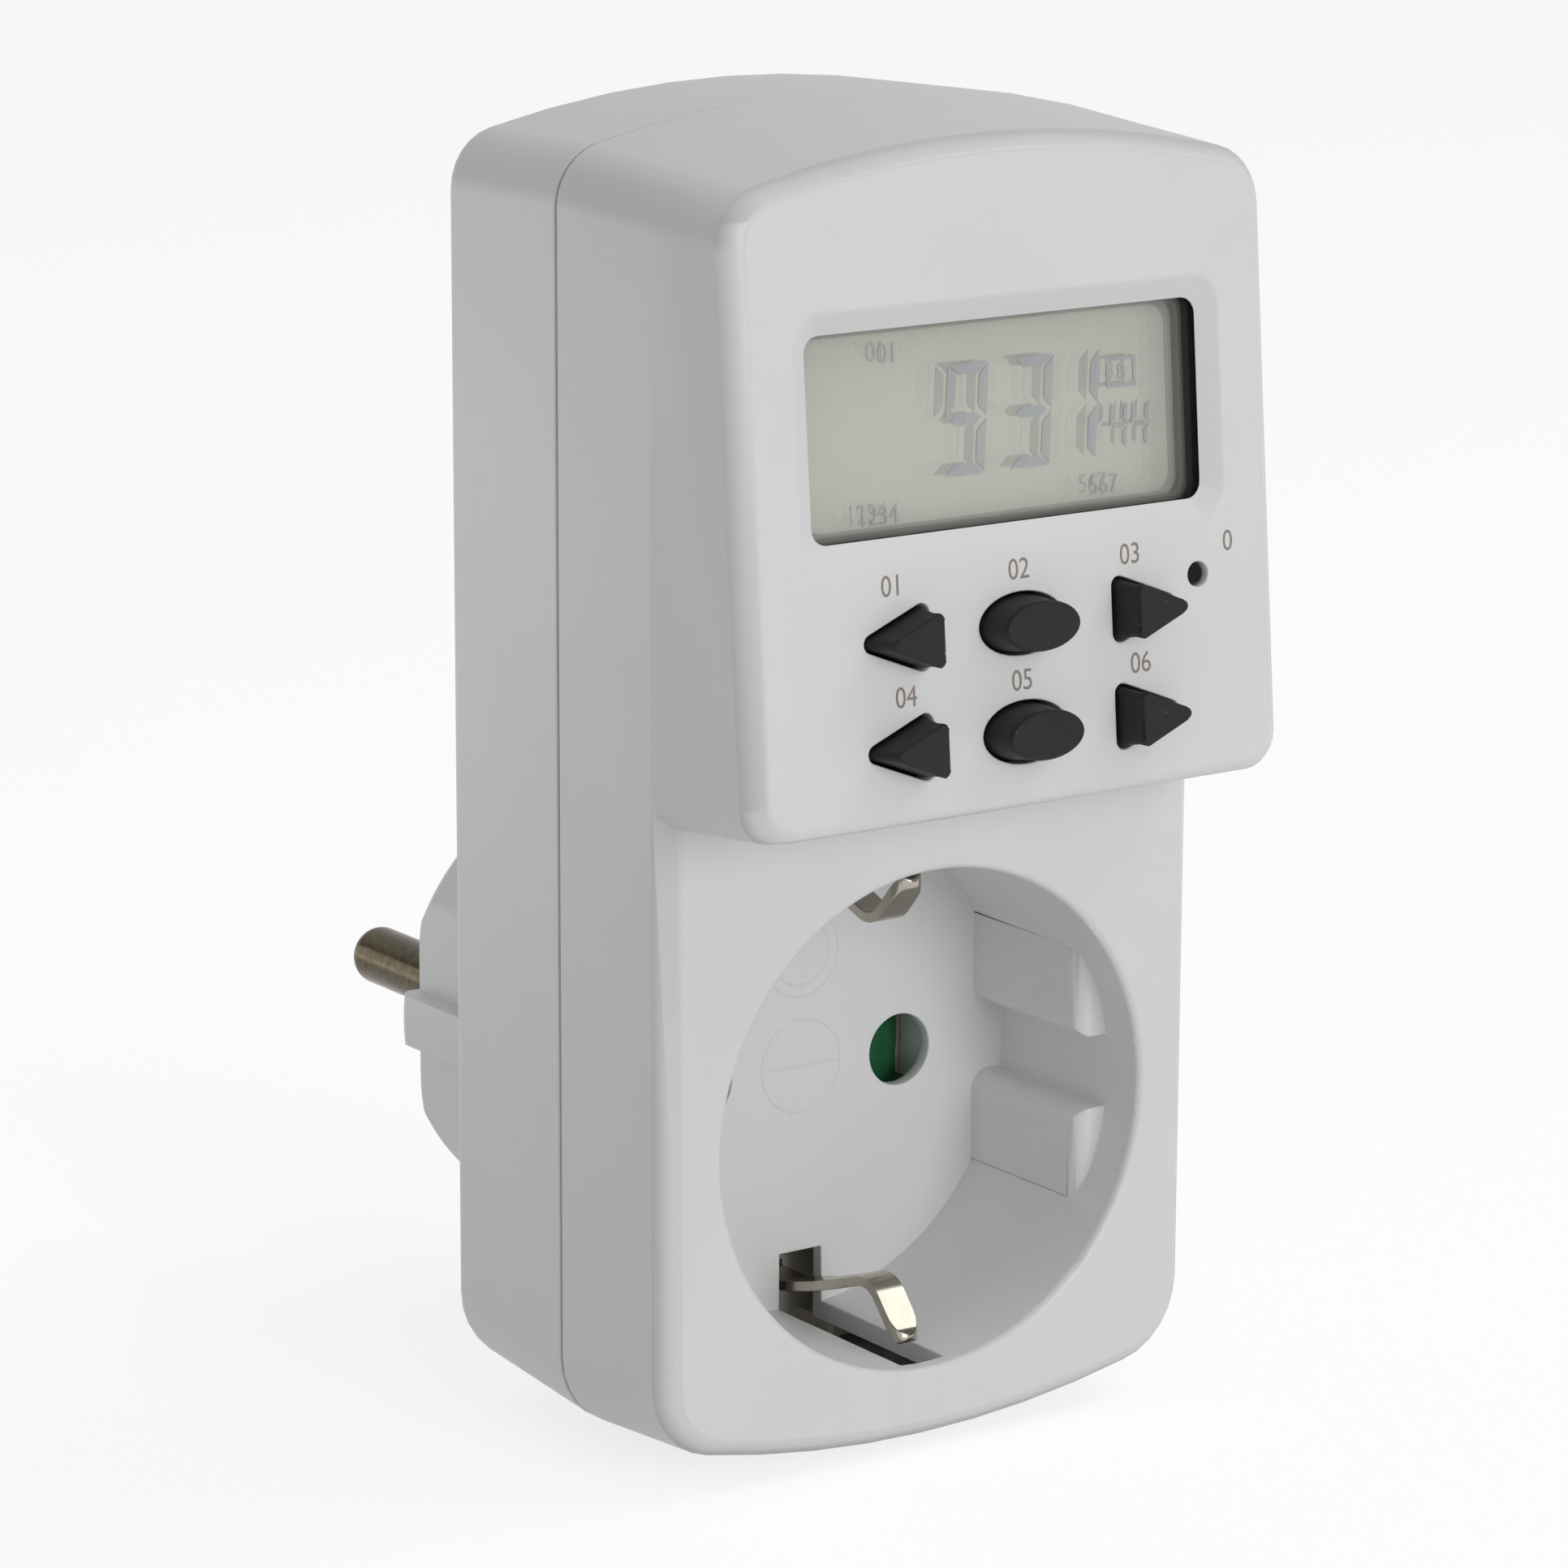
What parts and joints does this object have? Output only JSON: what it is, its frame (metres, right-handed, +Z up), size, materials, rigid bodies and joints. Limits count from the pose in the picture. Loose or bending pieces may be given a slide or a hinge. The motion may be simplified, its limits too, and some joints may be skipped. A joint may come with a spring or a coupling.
{
  "type": "plug-in timer switch",
  "caption": "Plug-in mains timer: two-shell body with an earthed plug behind, an earthed socket recess in front and a leaning display panel with press keys above it.",
  "frame": {"origin": "centre of the plug's face, midway between the two pins", "axes": "+Y out of the plug's face towards the wall socket, -Y towards the user, +Z up, +X to the right seen from the user's side"},
  "size_m": [0.0504, 0.0807, 0.1034],
  "materials": {
    "white_shell": "satin",
    "nickel": "polished",
    "brass": "satin",
    "copper_strip": "satin",
    "steel": "satin",
    "clear": "polished",
    "black_plastic": "matte",
    "lcd_glass": "gloss",
    "key_rubber": "matte",
    "mat_rubber": "matte",
    "green_plastic": "satin",
    "cream_plastic": "matte",
    "board_green": "gloss",
    "dark_epoxy": "matte",
    "relay_blue": "gloss",
    "cap_yellow": "gloss",
    "varistor_blue": "gloss",
    "resistor_tan": "matte",
    "ribbon_grey": "matte"
  },
  "bodies": {
    "housing": {"back_cover": "white_shell", "front_housing": "white_shell", "plug_pin_left": "nickel", "plug_pin_right": "nickel", "display_window": "clear", "display_frame": "black_plastic", "display_cell": "lcd_glass", "shutter_spring": "steel", "contact_carrier": "cream_plastic", "contact_left": "brass", "contact_right": "brass", "earth_strap": "nickel", "live_strap_in": "copper_strip", "live_strap_out": "copper_strip", "neutral_strap": "copper_strip", "logic_board": "board_green", "key_mat": "mat_rubber", "zebra_strips": "mat_rubber", "controller_chip": "dark_epoxy", "backup_battery": "steel", "reset_switch": "dark_epoxy", "power_board": "board_green", "relay": "relay_blue", "dropper_capacitor": "cap_yellow", "smoothing_capacitors": "dark_epoxy", "varistor": "varistor_blue", "rectifier_diodes": "dark_epoxy", "series_resistor": "resistor_tan", "link_ribbon": "ribbon_grey", "housing_screws": "steel", "board_screws": "steel", "carrier_screws": "steel"},
    "key_up_body": {"key_up": "key_rubber"},
    "key_set_body": {"key_set": "key_rubber"},
    "key_down_body": {"key_down": "key_rubber"},
    "key_random_body": {"key_random": "key_rubber"},
    "key_countdown_body": {"key_countdown": "key_rubber"},
    "key_manual_body": {"key_manual": "key_rubber"},
    "upper_clip": {"earth_clip_upper": "nickel"},
    "lower_clip": {"earth_clip_lower": "nickel"},
    "shutter_slide_body": {"shutter": "green_plastic"},
    "reset_body": {"reset_plunger": "black_plastic"}
  },
  "joints": [
    {"name": "key_up_press", "type": "slide", "parent": "housing", "child": "key_up_body", "axis": [0, 0.9964, -0.0847], "range_m": [0, 0.001], "stiffness_N_per_m": 300, "springref_m": -0.0005},
    {"name": "key_set_press", "type": "slide", "parent": "housing", "child": "key_set_body", "axis": [0, 0.9964, -0.0847], "range_m": [0, 0.001], "stiffness_N_per_m": 300, "springref_m": -0.0005},
    {"name": "key_down_press", "type": "slide", "parent": "housing", "child": "key_down_body", "axis": [0, 0.9964, -0.0847], "range_m": [0, 0.001], "stiffness_N_per_m": 300, "springref_m": -0.0005},
    {"name": "key_random_press", "type": "slide", "parent": "housing", "child": "key_random_body", "axis": [0, 0.9964, -0.0847], "range_m": [0, 0.001], "stiffness_N_per_m": 300, "springref_m": -0.0005},
    {"name": "key_countdown_press", "type": "slide", "parent": "housing", "child": "key_countdown_body", "axis": [0, 0.9964, -0.0847], "range_m": [0, 0.001], "stiffness_N_per_m": 300, "springref_m": -0.0005},
    {"name": "key_manual_press", "type": "slide", "parent": "housing", "child": "key_manual_body", "axis": [0, 0.9964, -0.0847], "range_m": [0, 0.001], "stiffness_N_per_m": 300, "springref_m": -0.0005},
    {"name": "reset_press", "type": "slide", "parent": "housing", "child": "reset_body", "axis": [0, 0.9964, -0.0847], "range_m": [0, 0.0005], "stiffness_N_per_m": 400, "springref_m": -0.0005},
    {"name": "shutter_slide", "type": "slide", "parent": "housing", "child": "shutter_slide_body", "axis": [-1, 0, 0], "range_m": [0, 0.0062], "stiffness_N_per_m": 60, "springref_m": -0.003, "deforming": ["shutter_spring"]},
    {"name": "upper_clip_flex", "type": "hinge", "parent": "housing", "child": "upper_clip", "pos_m": [0, -0.0222, 0.0179], "axis": [-1, 0, 0], "range_deg": [0, 7], "stiffness_Nm_per_rad": 0.3, "springref_deg": -1.72},
    {"name": "lower_clip_flex", "type": "hinge", "parent": "housing", "child": "lower_clip", "pos_m": [0, -0.0222, -0.0179], "axis": [1, 0, 0], "range_deg": [0, 7], "stiffness_Nm_per_rad": 0.3, "springref_deg": -1.72}
  ]
}
